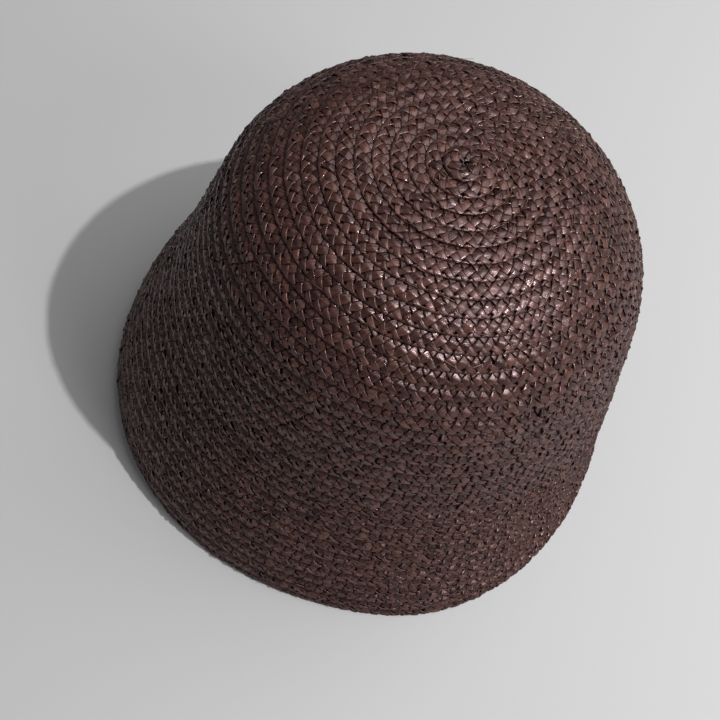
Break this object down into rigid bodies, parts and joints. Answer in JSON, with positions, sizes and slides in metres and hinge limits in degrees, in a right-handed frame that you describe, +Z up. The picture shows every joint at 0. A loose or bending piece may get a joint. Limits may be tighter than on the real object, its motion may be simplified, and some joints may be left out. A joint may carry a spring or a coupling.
{
  "type": "straw sun hat",
  "caption": "Soft bell-shaped sun hat sewn from one spiral of dark plaited straw braid, deep brim in front and short behind, with a fabric sweatband inside.",
  "frame": {"origin": "on the surface that the hat stands on, in the middle of its bounding box", "axes": "+Z up through the crown, -Y to the front where the brim is deep, +Y to the back, +X to one side; the YZ plane is the mirror plane"},
  "size_m": [0.2286, 0.2172, 0.149],
  "materials": {
    "straw_braid": "dyed plaited straw, satin with glossy splints",
    "grosgrain": "matte ribbed ribbon",
    "thread": "matte sewing thread"
  },
  "bodies": {
    "root": {"crown_tip_braid": "straw_braid", "crown_top_braid": "straw_braid", "crown_shoulder_braid": "straw_braid", "crown_side_upper_braid": "straw_braid", "crown_side_lower_braid": "straw_braid", "brim_upper_braid": "straw_braid", "brim_middle_braid": "straw_braid", "brim_lower_braid": "straw_braid", "brim_edge_braid": "straw_braid", "crown_seam_thread": "thread", "brim_seam_thread": "thread", "sweatband": "grosgrain", "sweatband_thread": "thread"}
  },
  "joints": []
}
